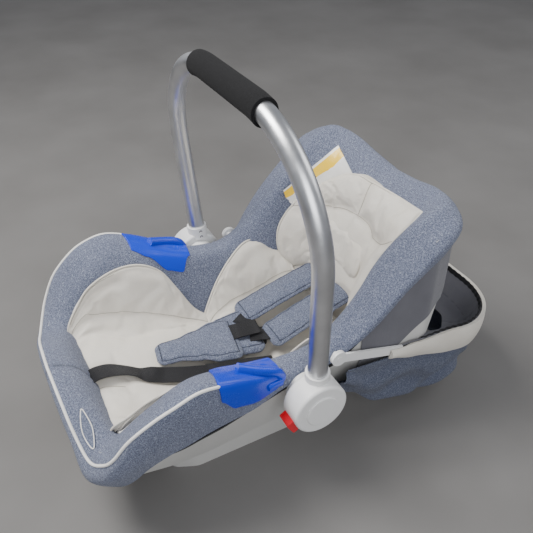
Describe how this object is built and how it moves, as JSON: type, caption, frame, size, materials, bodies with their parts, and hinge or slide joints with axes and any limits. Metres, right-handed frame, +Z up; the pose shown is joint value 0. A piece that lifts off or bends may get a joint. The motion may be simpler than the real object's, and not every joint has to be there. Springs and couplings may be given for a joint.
{
  "type": "infant car seat",
  "caption": "Rear-facing infant car seat with tubular carry handle, folding canopy, padded liner, harness and belt guides on a rocker base.",
  "frame": {"origin": "on the floor under the middle of the overall length, on the plane of symmetry", "axes": "+Y from the foot end to the head end, +X across the seat towards the child's left as it looks out, +Z up"},
  "size_m": [0.5014, 0.756, 0.6027],
  "materials": {
    "grey_plastic": "fine matte moulding",
    "foam": "moulded foam",
    "melange_fabric": "grey-blue melange weave",
    "melange_pad": "grey-blue melange weave, quilted",
    "white_piping": "corded edge",
    "black_binding": "elastic tape",
    "blue_plastic": "glossy",
    "screw_steel": "zinc plated",
    "cream_fabric": "soft knitted cotton",
    "black_webbing": "ribbed webbing",
    "black_plastic": "matte",
    "tag_card": "printed satin label, blank",
    "white_plastic": "satin moulding",
    "satin_aluminium": "satin anodised",
    "black_foam": "foam rubber sleeve",
    "red_plastic": "glossy",
    "canopy_fabric": "grey-blue melange with grey lining"
  },
  "bodies": {
    "seat": {"seat_shell": "grey_plastic", "rocker_base": "grey_plastic", "foam_liner": "foam", "seat_cover": "melange_fabric", "cover_piping": "white_piping", "cover_binding": "black_binding", "belt_guide_left": "blue_plastic", "belt_guide_right": "blue_plastic", "guide_screws": "screw_steel", "seat_pad": "cream_fabric", "body_pad": "cream_fabric", "head_pillow": "cream_fabric", "shoulder_pad_left": "melange_pad", "shoulder_pad_right": "melange_pad", "shoulder_strap_left": "black_webbing", "shoulder_strap_right": "black_webbing", "crotch_pad": "melange_pad", "crotch_strap": "black_webbing", "buckle_body": "black_plastic", "buckle_tongues": "screw_steel", "adjuster_strap": "black_webbing", "adjuster_housing": "black_plastic", "yoke_plate": "screw_steel", "care_tag": "tag_card", "sewn_patch": "melange_pad", "handle_mount_left": "grey_plastic", "handle_mount_right": "grey_plastic", "canopy_socket_left": "white_plastic", "canopy_socket_right": "white_plastic"},
    "handle": {"handle_tube": "satin_aluminium", "handle_grip": "black_foam", "handle_hub_left": "white_plastic", "handle_hub_right": "white_plastic", "hub_cap_left": "white_plastic", "hub_cap_right": "white_plastic", "handle_screws": "screw_steel", "button_spring_left": "screw_steel", "button_spring_right": "screw_steel"},
    "left_button": {"release_button_left": "red_plastic"},
    "right_button": {"release_button_right": "red_plastic"},
    "canopy": {"canopy_arm_left": "white_plastic", "canopy_arm_right": "white_plastic", "canopy_bow": "black_plastic", "canopy_trim": "cream_fabric", "canopy_fabric": "canopy_fabric"},
    "harness_button": {"buckle_button": "black_plastic"},
    "adjuster": {"adjuster_lever": "black_plastic"}
  },
  "joints": [
    {"name": "handle_swing", "type": "hinge", "parent": "seat", "child": "handle", "pos_m": [0, -0.03937, 0.168], "axis": [-1, 0, 0], "range_deg": [-40, 85]},
    {"name": "left_release", "type": "slide", "parent": "handle", "child": "left_button", "axis": [0, 0.8572, 0.515], "range_m": [0, 0.006], "stiffness_N_per_m": 600},
    {"name": "right_release", "type": "slide", "parent": "handle", "child": "right_button", "axis": [0, 0.8572, 0.515], "range_m": [0, 0.006], "stiffness_N_per_m": 600},
    {"name": "canopy_fold", "type": "hinge", "parent": "seat", "child": "canopy", "pos_m": [0, 0.02063, 0.202], "axis": [1, 0, 0], "range_deg": [0, 105], "deforming": ["canopy_fabric"]},
    {"name": "buckle_press", "type": "slide", "parent": "seat", "child": "harness_button", "axis": [0, 0, -1], "range_m": [0, 0.003], "stiffness_N_per_m": 600},
    {"name": "adjuster_tilt", "type": "hinge", "parent": "seat", "child": "adjuster", "pos_m": [0, -0.32537, 0.122], "axis": [1, 0, 0], "range_deg": [0, 20], "stiffness_Nm_per_rad": 0.5}
  ]
}
